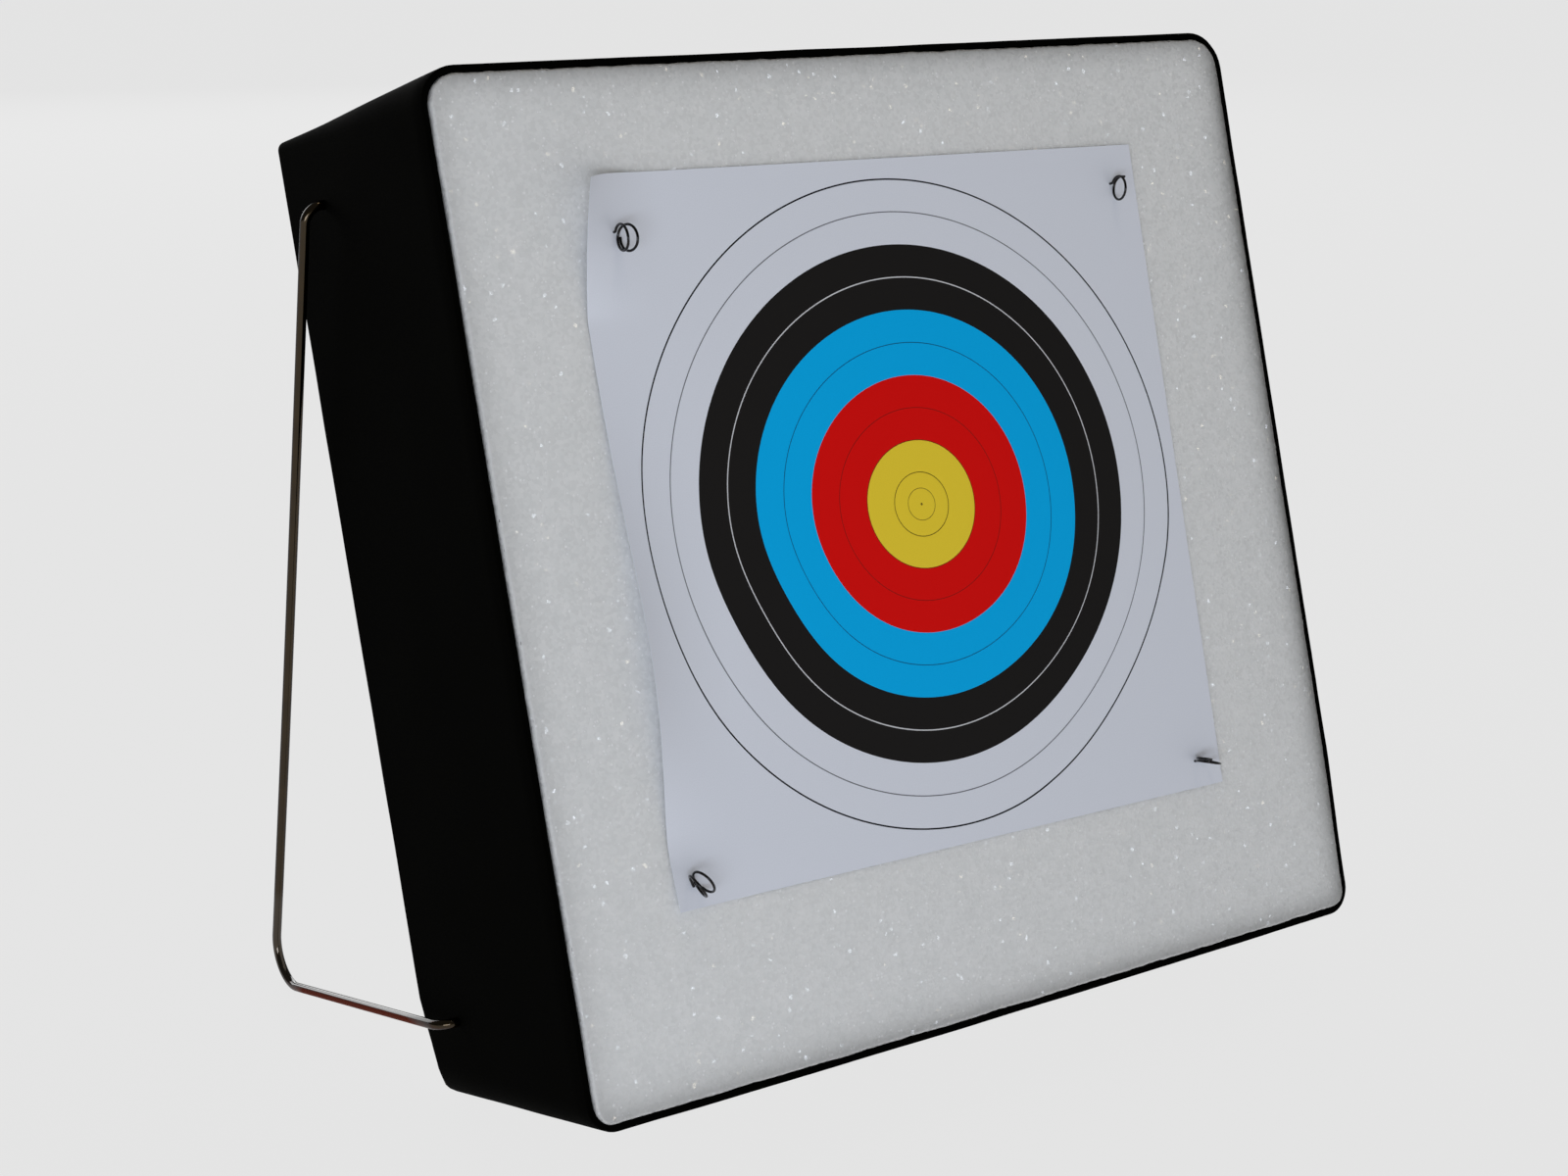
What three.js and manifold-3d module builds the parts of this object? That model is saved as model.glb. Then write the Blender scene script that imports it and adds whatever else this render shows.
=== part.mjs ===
// Archery target stand: a block of white foam planks in a black wrap leans back on
// two bent steel rods. A paper face is held on it by four pins with wire ring heads.
// Millimetres, +Z up, +X to the archer's right, the face towards -Y, and the origin
// on the floor at the middle of the footprint.
import * as THREE from "three";
import { mergeVertices } from "three/addons/utils/BufferGeometryUtils.js";
import Module from "manifold-3d";

const wasm = await Module();
wasm.setup();

// Clearances that all the pieces share
const gap = 0.3; // between pieces that touch, and round what is pushed into the foam
const overrun = 30; // how far a cutting solid runs past what it cuts
const weld = 0.001; // corners closer than this are one corner

// Foam block and the wrap round its four sides
const blockWidth = 600;
const blockHeight = 600;
const blockDepth = 200;
const plankCount = 5;
const foamEdgeRadius = 4; // worn edge of the front plank
const wrapThickness = 4;
const wrapCornerRadius = 24; // outside, at the upper corners of the face
const lowCornerRadius = 17.5; // and at its lower corners
const backCornerRadius = 6; // at the upper corners of the back, where the foam is left square
const lowBackCornerRadius = 28; // and at its lower corners
const wornHeight = 67; // how far up the edges of the back the lower corners are worn off
const wornDepth = 16; // how far forward
const wornWidth = 10; // and how far in
const wrapSetback = 1.5; // front edge of the wrap behind the foam's face
const wrapSeam = 1; // slit under the block where the two ends of the wrap meet
const floorCrush = 1.5; // how far the edge that the block stands on is pressed flat
const cornerSteps = 4;
const edgeSteps = 3;

// Bent steel rod at each side, measured along the face and square to it
const rodDiameter = 6;
const rodSides = 12;
const rodOffset = 12; // from the block's side to the middle of the rod
const prongLength = 80; // how deep each end is pushed into the block
const topProngInset = 48.5; // below the block's top
const topProngSetback = 53; // in front of the block's back
const lowProngInset = 54.8; // above the block's bottom
const lowProngSetback = 50;
const footReach = 202.6; // from the block's back to where leg and foot would meet
const footRise = 12.5; // from the lower prong up to where they would meet
const footBendRadius = 24;
const footBendSteps = 14;
const prongBendRadius = 11;
const prongBendSteps = 6;
const prongTaper = 8;
const tipShare = 0.25; // width of a pointed end, as a share of the full width

// Paper face
const paperWidth = 425;
const paperHeight = 424;
const paperThickness = 0.4;
const paperOffset = -7.4; // its middle, to the right of the block's middle
const paperCentreHeight = 319.7; // its middle, above the block's bottom, along the face
const paperTurn = THREE.MathUtils.degToRad(0.75); // clockwise, as the archer sees it
const topCurl = 20; // how far the left edge stands off the foam at its top corner
const middleCurl = 11.4; // and between the two pins of that edge
const bottomCurl = 9; // and at its bottom corner
const curlWidth = 58; // how far in from the left edge the paper leaves the foam
// Heights where the left edge touches the foam, as shares of half the paper's height
const topCurlShares = [0.61, 1];
const middleCurlShares = [-0.82, 0.62];
const bottomCurlShares = [-0.85, -1];
const curlSkew = 0.65; // below 1, the middle curl stands highest below its middle
const paperColumns = 16;
const paperRows = 26;
const columnPower = 1.7; // more columns where the left edge curls

// Pins of bent wire
const wireDiameter = 1.3;
const wireSides = 6;
const wireBendRadius = 1.5; // where the shank goes over into the ring
const wireBendSteps = 3;
const ringRadius = 7.5; // to the middle of the wire
const ringStart = THREE.MathUtils.degToRad(-55); // where the wire comes in, from the ring's top
const ringSteps = 24; // in one turn
const ringPitch = 1.9; // from turn to turn, on the side that lies on the paper
const ringStandOff = 0.5; // from the paper to the nearest point of the ring
const pinReach = 70; // from the foam's face to the point
const pinTaper = 6;
// Middle of each ring, as shares of half the paper's width and height
const pinPlaceShares = {
  pin_top_left: [-0.883, 0.817],
  pin_top_right: [0.904, 0.861],
  pin_bottom_left: [-0.94, -0.93],
  pin_bottom_right: [0.92, -0.918],
};
// The turns of wire in each ring, and in degrees how it is turned about its shank, how its
// first turn leans over, and how far its turns have been pulled open
const pinRings = {
  pin_top_left: { turns: 1.9, turn: 5, tilt: -11, splay: 18 },
  pin_top_right: { turns: 1.2, turn: 8, tilt: -8, splay: 4 },
  pin_bottom_left: { turns: 1.8, turn: 150, tilt: -6, splay: 14 },
  pin_bottom_right: { turns: 1.3, turn: 288, tilt: -7, splay: 0 },
};

const rodRadius = rodDiameter / 2;
const wireRadius = wireDiameter / 2;
const plankDepth = (blockDepth - (plankCount - 1) * gap) / plankCount;
const foamInset = wrapThickness + gap;

function finish(color, roughness, metalness) {
  return new THREE.MeshStandardMaterial({ color, roughness, metalness });
}

function addPiece(parent, name, geometry, material) {
  const mesh = new THREE.Mesh(geometry, material);
  mesh.name = name;
  parent.add(mesh);
}

function solidFrom(geometry) {
  const bare = geometry.index ? geometry.toNonIndexed() : geometry.clone();
  bare.deleteAttribute("normal");
  bare.deleteAttribute("uv");
  const merged = mergeVertices(bare, weld);
  const mesh = new wasm.Mesh({
    numProp: 3,
    vertProperties: merged.attributes.position.array,
    triVerts: new Uint32Array(merged.index.array),
  });
  return new wasm.Manifold(mesh);
}

function geometryFrom(solid) {
  const { vertProperties, triVerts } = solid.getMesh();
  const geometry = new THREE.BufferGeometry();
  geometry.setAttribute("position", new THREE.BufferAttribute(vertProperties, 3));
  geometry.setIndex(new THREE.BufferAttribute(triVerts, 1));
  geometry.computeVertexNormals();
  return geometry;
}

// The geometry with each of the cutting geometries taken out of it.
function cut(geometry, cutters) {
  const solid = cutters.reduce((left, cutter) => left.subtract(solidFrom(cutter)), solidFrom(geometry));
  return geometryFrom(solid);
}

// A cutter for a round hole along Y, from one y to another, that no flat of it narrows.
function roundCutter(radius, fromY, toY) {
  const cornerRadius = radius / Math.cos(Math.PI / rodSides);
  const tool = new THREE.CylinderGeometry(cornerRadius, cornerRadius, toY - fromY, rodSides);
  return tool.translate(0, (fromY + toY) / 2, 0);
}

function boxBetween(low, high) {
  const size = high.clone().sub(low);
  const middle = low.clone().add(high).divideScalar(2);
  return new THREE.BoxGeometry(size.x, size.y, size.z).translate(middle.x, middle.y, middle.z);
}

function roundedRectangle(inset) {
  const shape = new THREE.Shape();
  const radius = wrapCornerRadius - inset;
  const x = blockWidth / 2 - wrapCornerRadius;
  const y = blockHeight / 2 - wrapCornerRadius;
  [[x, y], [-x, y], [-x, -y], [x, -y]].forEach(([cornerX, cornerY], corner) => {
    const from = (corner * Math.PI) / 2;
    shape.absarc(cornerX, cornerY, radius, from, from + Math.PI / 2);
  });
  return shape;
}

// How round the block's corner is at y, as a share of the outline's radius. Its upper corners
// get squarer towards the back, and its lower ones get rounder.
function roundnessAt(y, isLow) {
  const front = isLow ? lowCornerRadius : wrapCornerRadius;
  const back = isLow ? lowBackCornerRadius : backCornerRadius;
  return THREE.MathUtils.lerp(back, front, -y / blockDepth) / wrapCornerRadius;
}

// A slab of the block's outline, drawn in by inset, that fills from front to back.
function slab(inset, front, back, edgeRadius = 0) {
  const geometry = new THREE.ExtrudeGeometry(roundedRectangle(inset), {
    depth: back - front - edgeRadius,
    bevelEnabled: edgeRadius > 0,
    bevelThickness: edgeRadius,
    bevelSize: edgeRadius,
    bevelOffset: -edgeRadius,
    bevelSegments: edgeSteps,
    curveSegments: cornerSteps,
  });
  geometry.rotateX(Math.PI / 2).translate(0, back, 0);
  const position = geometry.attributes.position;
  for (let i = 0; i < position.count; i += 1) {
    const roundness = roundnessAt(position.getY(i), position.getZ(i) < 0);
    const rounded = (value, corner) => Math.sign(value) * (corner - (corner - Math.abs(value)) * roundness);
    position.setX(i, rounded(position.getX(i), blockWidth / 2 - inset));
    position.setZ(i, rounded(position.getZ(i), blockHeight / 2 - inset));
  }
  return geometry.translate(0, 0, blockHeight / 2);
}

// A cutter for the worn lower back corner at one side: what lies beyond a plane through a
// point on each of the three edges that meet there.
function wornCutter(side) {
  const corner = new THREE.Vector3((side * blockWidth) / 2, 0, 0);
  const inward = corner.clone().setX(corner.x - side * wornWidth);
  const forward = corner.clone().setY(-wornDepth);
  const upward = corner.clone().setZ(wornHeight);
  const plane = new THREE.Plane().setFromCoplanarPoints(inward, forward, upward);
  const foot = plane.projectPoint(corner, new THREE.Vector3());
  const tool = new THREE.BoxGeometry(blockWidth, blockWidth, blockWidth);
  tool.translate(0, 0, blockWidth / 2).lookAt(corner.sub(foot));
  return tool.translate(foot.x, foot.y, foot.z);
}

// A rod or wire that follows points, with its rings where the points are.
class BentWire extends THREE.Curve {
  constructor(points) {
    super();
    this.points = points;
  }

  at(share) {
    return Math.round(share * (this.points.length - 1));
  }

  getPointAt(share) {
    return this.points[this.at(share)].clone();
  }

  getTangentAt(share) {
    const last = this.points.length - 1;
    const from = this.points[Math.max(this.at(share) - 1, 0)];
    const to = this.points[Math.min(this.at(share) + 1, last)];
    return to.clone().sub(from).normalize();
  }

  // The first ring's corner points square to the first bend, and later rings follow.
  computeFrenetFrames(steps) {
    const tangents = this.points.map((_, i) => this.getTangentAt(i / steps));
    const bent = tangents.find((along) => along.angleTo(tangents[0]) > weld);
    const normals = [tangents[0].clone().cross(bent).normalize()];
    for (let i = 1; i <= steps; i += 1) {
      const turn = new THREE.Quaternion().setFromUnitVectors(tangents[i - 1], tangents[i]);
      normals.push(normals[i - 1].clone().applyQuaternion(turn));
    }
    const binormals = tangents.map((along, i) => along.clone().cross(normals[i]));
    return { tangents, normals, binormals };
  }
}

function wireAlong(points, radius, sides) {
  const corners = Array.from({ length: sides }, (_, i) => {
    const angle = (i * 2 * Math.PI) / sides;
    return new THREE.Vector2(radius * Math.cos(angle), radius * Math.sin(angle));
  });
  return new THREE.ExtrudeGeometry(new THREE.Shape(corners), {
    steps: points.length - 1,
    extrudePath: new BentWire(points),
  });
}

// Draws the end of a wire to a point: tip is its end, and next is where it is full again.
function sharpen(geometry, tip, next, radius) {
  const taper = next.distanceTo(tip);
  const inward = next.clone().sub(tip).normalize();
  const position = geometry.attributes.position;
  const corner = new THREE.Vector3();
  for (let i = 0; i < position.count; i += 1) {
    corner.fromBufferAttribute(position, i);
    const along = corner.clone().sub(tip).dot(inward);
    const axis = tip.clone().addScaledVector(inward, along);
    if (along < taper && corner.distanceTo(axis) < 2 * radius) {
      const width = THREE.MathUtils.lerp(tipShare, 1, Math.max(along, 0) / taper);
      corner.sub(axis).multiplyScalar(width).add(axis);
      position.setXYZ(i, corner.x, corner.y, corner.z);
    }
  }
  return geometry;
}

// The arc that rounds a corner between two others.
function bend(before, corner, after, radius, steps) {
  const arriving = corner.clone().sub(before).normalize();
  const leaving = after.clone().sub(corner).normalize();
  const turn = arriving.angleTo(leaving);
  const inward = leaving.clone().addScaledVector(arriving, -arriving.dot(leaving)).normalize();
  const centre = corner.clone();
  centre.addScaledVector(arriving, -radius * Math.tan(turn / 2)).addScaledVector(inward, radius);
  const points = Array.from({ length: steps + 1 }, (_, i) => {
    const angle = (turn * i) / steps;
    const point = centre.clone().addScaledVector(inward, -radius * Math.cos(angle));
    return point.addScaledVector(arriving, radius * Math.sin(angle));
  });
  return { centre, points };
}

// The corners of a rod, before bending: x out from the block's side, y back, z up.
const rodX = blockWidth / 2 + rodOffset;
const prongX = blockWidth / 2 - prongLength;
const topProng = new THREE.Vector3(prongX, -topProngSetback, blockHeight - topProngInset);
const lowProng = new THREE.Vector3(prongX, -lowProngSetback, lowProngInset);
const rodCorners = [
  topProng,
  topProng.clone().setX(rodX),
  new THREE.Vector3(rodX, footReach, lowProngInset + footRise),
  lowProng.clone().setX(rodX),
  lowProng,
];
const footBend = bend(...rodCorners.slice(1, 4), footBendRadius, footBendSteps);

// The block leans back until its pressed edge and the bends of the rods stand on the floor.
const bendHeight = footBendRadius + rodRadius + floorCrush;
const bendDistance = Math.hypot(footBend.centre.y, footBend.centre.z);
const bendAngle = Math.atan2(footBend.centre.y, footBend.centre.z);
const lean = Math.acos(bendHeight / bendDistance) - bendAngle;

// All pieces are placed in this frame: its origin is the block's lower back edge.
const leaning = new THREE.Group();
leaning.rotation.x = -lean;
leaning.position.z = -floorCrush;
leaning.updateMatrixWorld(true);

// The face's frame: its origin is under the middle of the paper, on the foam.
const face = new THREE.Group();
face.position.set(paperOffset, -blockDepth, paperCentreHeight);
face.rotation.y = paperTurn;
face.updateMatrix();
leaning.add(face);

// How the paper curls at x and z from its middle: away from the foam, and in from its
// left edge and its corners, because a curl draws them in.
function paperCurl(x, z) {
  const rampShare = ([from, to]) => {
    const upShare = z / (paperHeight / 2);
    return THREE.MathUtils.clamp((upShare - from) / (to - from), 0, 1);
  };
  const topShare = rampShare(topCurlShares);
  const bottomShare = rampShare(bottomCurlShares);
  const middle = middleCurl * Math.sin(Math.PI * rampShare(middleCurlShares) ** curlSkew) ** 2;
  const atEdge = topCurl * topShare + middle + bottomCurl * bottomShare;
  const near = THREE.MathUtils.clamp(1 - (x + paperWidth / 2) / curlWidth, 0, 1);
  const drawnIn = ((2 / 3) * atEdge ** 2 * near ** 3) / curlWidth;
  return { lift: atEdge * near ** 2, right: drawnIn, up: drawnIn * (bottomShare - topShare) };
}

// The middle of a pin's wire in its ring, in the pin's own frame: its turns lie together
// on the side by the paper, where y is 0, and the shank comes up beside them.
function ringPoints({ turns, tilt, splay }) {
  const steps = Math.round(turns * ringSteps);
  const points = Array.from({ length: steps + 1 }, (_, i) => {
    const wound = (turns * i) / steps;
    const angle = ringStart + 2 * Math.PI * wound;
    const lean = THREE.MathUtils.degToRad(tilt + splay * wound);
    const out = ringRadius * (1 + Math.sin(angle));
    const x = ringPitch * (wound - turns / 2) + out * Math.sin(lean);
    return new THREE.Vector3(x, -out * Math.cos(lean), ringRadius * Math.cos(angle));
  });
  const last = points.at(-1).clone().sub(points.at(-2)).setLength(wireDiameter);
  return [...points, last.add(points.at(-1))];
}

const pins = Object.entries(pinRings).map(([name, shape]) => {
  const [acrossShare, upShare] = pinPlaceShares[name];
  const holder = new THREE.Group();
  holder.position.set((acrossShare * paperWidth) / 2, 0, (upShare * paperHeight) / 2);
  holder.rotation.y = THREE.MathUtils.degToRad(shape.turn);
  holder.updateMatrix();
  // The pin is pushed in until its ring is all but on the paper.
  const ring = ringPoints(shape);
  const stand = ring.map((point) => {
    const { x, y, z } = point.clone().applyMatrix4(holder.matrix);
    return y + paperCurl(x, z).lift;
  });
  const rise = Math.max(...stand) + gap + paperThickness + ringStandOff + wireDiameter / 2;
  ring.forEach((point) => point.setY(point.y - rise));
  return { name, holder, ring };
});

// A cutter for a pin's hole, in the face's frame.
function pinCutter({ holder, ring }) {
  const tool = roundCutter(wireRadius + gap, -overrun, pinReach + gap);
  return tool.translate(ring[0].x, 0, ring[0].z).applyMatrix4(holder.matrix);
}

function prongCutter(side, prong) {
  const tool = roundCutter(rodRadius + gap, prongX - gap, blockWidth / 2 + overrun);
  return tool.rotateZ((-side * Math.PI) / 2).translate(0, prong.y, prong.z);
}

const pinCutters = pins.map((pin) => pinCutter(pin).applyMatrix4(face.matrix));
const prongCutters = [-1, 1].flatMap((side) => [
  prongCutter(side, topProng),
  prongCutter(side, lowProng),
]);
const wornCutters = [-1, 1].map(wornCutter);

// Planks, numbered from the front. Only what meets a plank cuts it.
function buildPlank(index) {
  const front = index * (plankDepth + gap) - blockDepth;
  const back = front + plankDepth;
  const isFront = index === 0;
  const cutters = [];
  if (isFront) {
    const reach = blockWidth + blockHeight;
    const behind = new THREE.Vector3(reach, back + overrun, reach);
    cutters.push(boxBetween(new THREE.Vector3(-reach, back, -reach), behind));
  }
  if (front < pinReach + gap - blockDepth) cutters.push(...pinCutters);
  const boreRadius = rodRadius + gap;
  const meets = ({ y }) => front < y + boreRadius && back > y - boreRadius;
  if (meets(topProng) || meets(lowProng)) cutters.push(...prongCutters);
  if (back > -wornDepth) cutters.push(...wornCutters);
  const plank = slab(foamInset, front, back, isFront ? foamEdgeRadius : 0);
  addPiece(leaning, `foam_plank_${index + 1}`, cut(plank, cutters), finish(0xdfe2e1, 0.9, 0));
}

function buildWrap() {
  const front = wrapSetback - blockDepth;
  const seam = boxBetween(
    new THREE.Vector3(-wrapSeam / 2, -blockDepth - overrun, -overrun),
    new THREE.Vector3(wrapSeam / 2, overrun, blockHeight / 2),
  );
  const floor = boxBetween(
    new THREE.Vector3(-blockWidth, -overrun, -overrun),
    new THREE.Vector3(blockWidth, overrun, 0),
  ).applyMatrix4(leaning.matrixWorld.clone().invert());
  const inside = slab(wrapThickness, -blockDepth - overrun, overrun);
  const wrap = cut(slab(0, front, 0), [inside, seam, floor, ...prongCutters, ...wornCutters]);
  addPiece(leaning, "side_wrap", wrap, finish(0x0d0c0b, 0.85, 0));
}

function buildRod(name, side) {
  const [topTip, topCorner, footCorner, lowCorner, lowTip] = rodCorners;
  const topBend = bend(topTip, topCorner, footCorner, prongBendRadius, prongBendSteps);
  const lowBend = bend(footCorner, lowCorner, lowTip, prongBendRadius, prongBendSteps);
  const full = new THREE.Vector3(prongTaper, 0, 0);
  const points = [
    topTip.clone(),
    topTip.clone().add(full),
    ...topBend.points,
    ...footBend.points,
    ...lowBend.points,
    lowTip.clone().add(full),
    lowTip.clone(),
  ].map((point) => point.clone().setX(side * point.x));
  const rod = wireAlong(points, rodRadius, rodSides);
  sharpen(rod, points[0], points[1], rodRadius);
  sharpen(rod, points.at(-1), points.at(-2), rodRadius);
  addPiece(leaning, name, rod, finish(0x8f867c, 0.25, 1));
}

function buildPaper() {
  const sheet = new THREE.BoxGeometry(1, paperThickness, paperHeight, paperColumns, 1, paperRows);
  const position = sheet.attributes.position;
  for (let i = 0; i < position.count; i += 1) {
    const acrossShare = (position.getX(i) + 1 / 2) ** columnPower - 1 / 2;
    const x = acrossShare * paperWidth;
    const { lift, right, up } = paperCurl(x, position.getZ(i));
    position.setX(i, x + right);
    position.setY(i, position.getY(i) - gap - paperThickness / 2 - lift);
    position.setZ(i, position.getZ(i) + up);
  }
  addPiece(face, "target_face", cut(sheet, pins.map(pinCutter)), finish(0xe6e9f0, 0.7, 0));
}

// The least distance between the surfaces of two stretches of a wire that aren't neighbours.
function leastGap(points, diameter) {
  let least = Infinity;
  points.forEach((from, i) => {
    let travelled = 0;
    for (let j = i + 1; j < points.length; j += 1) {
      travelled += points[j].distanceTo(points[j - 1]);
      if (travelled > Math.PI * diameter) least = Math.min(least, from.distanceTo(points[j]));
    }
  });
  return least - diameter;
}

function buildPin({ name, holder, ring }) {
  const tip = ring[0].clone().setY(pinReach);
  const full = ring[0].clone().setY(pinReach - pinTaper);
  console.log(`${name}: least gap in the ring ${leastGap(ring, wireDiameter).toFixed(2)} mm`);
  const start = bend(full, ring[0], ring[1], wireBendRadius, wireBendSteps).points;
  const wire = wireAlong([tip, full, ...start, ...ring.slice(1)], wireRadius, wireSides);
  face.add(holder);
  addPiece(holder, name, sharpen(wire, tip, full, wireRadius), finish(0xa9a8a6, 0.3, 1));
}

for (let index = 0; index < plankCount; index += 1) buildPlank(index);
buildWrap();
buildRod("left_brace", -1);
buildRod("right_brace", 1);
buildPaper();
pins.forEach(buildPin);

// The origin goes to the middle of the footprint, from front to back.
const stand = new THREE.Group();
stand.name = "archery_target_stand";
stand.add(leaning);
stand.updateMatrixWorld(true);
const extent = new THREE.Box3().setFromObject(stand, true);
leaning.position.y = -(extent.min.y + extent.max.y) / 2;

export default stand;
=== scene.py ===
import math

import bmesh
import bpy
from mathutils import Matrix, Vector, noise


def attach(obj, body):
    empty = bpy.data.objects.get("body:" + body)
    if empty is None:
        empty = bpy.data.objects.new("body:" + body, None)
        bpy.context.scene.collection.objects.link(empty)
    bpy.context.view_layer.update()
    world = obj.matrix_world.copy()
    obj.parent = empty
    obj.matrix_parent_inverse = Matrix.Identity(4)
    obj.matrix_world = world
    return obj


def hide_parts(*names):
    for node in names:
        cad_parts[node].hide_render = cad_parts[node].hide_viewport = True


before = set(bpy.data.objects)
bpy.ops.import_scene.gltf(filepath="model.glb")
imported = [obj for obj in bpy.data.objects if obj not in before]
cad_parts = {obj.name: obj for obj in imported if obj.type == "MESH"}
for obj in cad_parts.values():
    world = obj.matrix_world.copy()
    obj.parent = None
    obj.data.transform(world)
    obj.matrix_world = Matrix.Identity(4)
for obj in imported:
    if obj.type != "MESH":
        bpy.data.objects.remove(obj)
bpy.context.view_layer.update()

scene = bpy.context.scene


# Camera
# It stands to the left of the target, a little above it, and looks down on it.
scene.view_settings.view_transform = "Standard"  # printed colours come out as they are
CAMERA_PLACE = Vector((-0.9654, -1.3015, 0.8094))
CAMERA_LOOK = Vector((0.5503, 0.7756, -0.3094))
CAMERA_ROLL = math.radians(2.12)
camera_data = bpy.data.cameras.new("camera")
camera_data.sensor_width = 36
camera_data.lens = 59.9
camera_data.clip_end = 100
camera = bpy.data.objects.new("camera", camera_data)
scene.collection.objects.link(camera)
camera.location = CAMERA_PLACE
level = CAMERA_LOOK.to_track_quat("-Z", "Y").to_matrix()
camera.rotation_euler = (level @ Matrix.Rotation(CAMERA_ROLL, 3, "Z")).to_euler()
scene.camera = camera


# Studio
# A plain pale floor, a soft light from the left, a wide one behind and a weak one overhead.
FLOOR_HALF = 30  # metres
SKY_STRENGTH = 0.12


def linear(hex_colour):
    """The linear colour of an sRGB hex value."""
    shares = [int(hex_colour[i : i + 2], 16) / 255 for i in (1, 3, 5)]
    return [s / 12.92 if s <= 0.04045 else ((s + 0.055) / 1.055) ** 2.4 for s in shares] + [1]


def add_node(tree, kind, inputs=(), **settings):
    """One node with its settings. Each of its inputs takes a value or another node's output."""
    node = tree.nodes.new(kind)
    for name, value in settings.items():
        setattr(node, name, value)
    for place, value in dict(inputs).items():
        if isinstance(value, bpy.types.NodeSocket):
            tree.links.new(value, node.inputs[place])
        else:
            node.inputs[place].default_value = value
    return node


def start_material(name):
    """A new material and its empty tree."""
    material = bpy.data.materials.new(name)
    material.use_nodes = True
    material.node_tree.nodes.clear()
    return material, material.node_tree


def finish_material(tree, **sockets):
    """The surface of the material, with a value or an output on each named socket."""
    inputs = {name.replace("_", " "): value for name, value in sockets.items()}
    shader = add_node(tree, "ShaderNodeBsdfPrincipled", inputs)
    add_node(tree, "ShaderNodeOutputMaterial", {"Surface": shader.outputs[0]})


def soft_light(name, place, aim, width, height, watts, colour):
    """A rectangular lamp at a place, turned to a point."""
    light = bpy.data.lights.new(name, "AREA")
    light.shape = "RECTANGLE"
    light.size = width
    light.size_y = height
    light.energy = watts
    light.color = linear(colour)[:3]
    lamp = bpy.data.objects.new(name, light)
    scene.collection.objects.link(lamp)
    lamp.location = place
    lamp.rotation_euler = (Vector(aim) - Vector(place)).to_track_quat("-Z", "Y").to_euler()


sky = bpy.data.worlds.new("sky")
sky.use_nodes = True
sky.node_tree.nodes["Background"].inputs["Color"].default_value = linear("#fffefa")
sky.node_tree.nodes["Background"].inputs["Strength"].default_value = SKY_STRENGTH
scene.world = sky
# Name, place, aim, width, height, watts and colour of each lamp.
LAMPS = (
    ("overhead_light", (0, -0.6, 3.2), (0, 0.2, 0), 0.6, 0.6, 7, "#fff2dc"),
    ("left_light", (-2.1, -2.5, 0.3), (0, 0, 0.15), 1.8, 1.2, 52, "#eaf2ff"),
    ("back_light", (0.5, 4.2, 1.45), (-0.3, 0.1, 0.3), 6, 2.2, 140, "#ffffff"),
)
for lamp in LAMPS:
    soft_light(*lamp)

corners = ((-1, -1), (1, -1), (1, 1), (-1, 1))
floor_mesh = bpy.data.meshes.new("floor")
floor_mesh.from_pydata([(x * FLOOR_HALF, y * FLOOR_HALF, 0) for x, y in corners], [], [range(4)])
floor = bpy.data.objects.new("floor", floor_mesh)
scene.collection.objects.link(floor)
# Matt pale paint that is bright enough by itself to hide the shadows.
paint, tree = start_material("pale_floor_paint")
finish_material(
    tree,
    Base_Color=linear("#303030"),
    Roughness=1.0,
    Specular_IOR_Level=0.0,
    Emission_Color=linear("#e4e4e4"),
    Emission_Strength=0.99,
)
floor_mesh.materials.append(paint)


# Foam planks
# Five planks of white expanded polyethylene, one behind another, each about 40 mm thick.
# The closed cells of about 2 mm give it a fine grain that sparkles. The front edges are worn.
MM = 0.001
BLOCK = 600  # width and height, over the wrap
BLOCK_DEPTH = 200
PLANKS = 5
GAP = 0.3  # between two planks
FOAM_INSET = 4.3  # from the outside of the wrap to the foam
TOP_CORNER = (24, 6)  # radius of the block's upper corners at its face and at its back
LOW_CORNER = (17.5, 28)
WORN_BACK = (10, 16, 67)  # how far in, forward and up the lower back corners are worn off
# How far in from the outline the front edge is worn round, and how deep, at each side.
SIDE_EDGE, TOP_EDGE, LOW_EDGE = (2.5, 2.5), (2.5, 2), (2, 2)
LIP_SQUARENESS = 0.73  # the foam's lower corners at the face are squarer than the wrap's
# Near its edges the foam is painted darker: a painted shade, for the light lost in the wrap
# and for the way the light falls on its worn edges, by this share at its left, right, lower
# and upper edge, and by less with the distance.
PAINTED_EDGE_SHADE = (0.29, 0.8, 0.47, 0.5)
SHADE_REACH = 7.5
# The block isn't cut quite square: towards its face it is wider at the right, taller, and
# bellied below. This starts at one share of its depth and grows over another, and the extra
# width does the same with the height.
SWELL_START, SWELL_RUN = 0.3, 0.6
WIDER, WIDER_START, WIDER_RUN = 2.3, 0.04, 0.14
TALLER = 1.1
BELLY, BELLY_PEAK = 1.4, 1.4
BELLY_MIDDLE, BELLY_HALF = 60, 300  # where it hangs lowest, and half its width
# The worn face lies a little deeper, with dents of two sizes, and its edge is frayed. The
# back is worn less.
FACE_WEAR, DENT, FRAY = 0.12, 0.06, 0.5
BACK_WEAR = 0.6  # of the wear of the face
WIDE_DENT, SMALL_DENT = 70, 9
WIDE_FRAY, SMALL_FRAY = 26, 5
FACE_STEP = 3  # between the points of the face
BACK_STEP = 6
HIDDEN_STEP = 60
RIM_STEPS = (0, 0.2, 0.5, 0.9, 1.4, 2.0, 2.7, 3.5, 4.5, 5.7, 7.5)  # in from the outline
SIDE_ROWS = (7, 14)  # back from the face
SHARP_EDGE = math.radians(40)  # an edge that bends by less is drawn smooth
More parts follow.
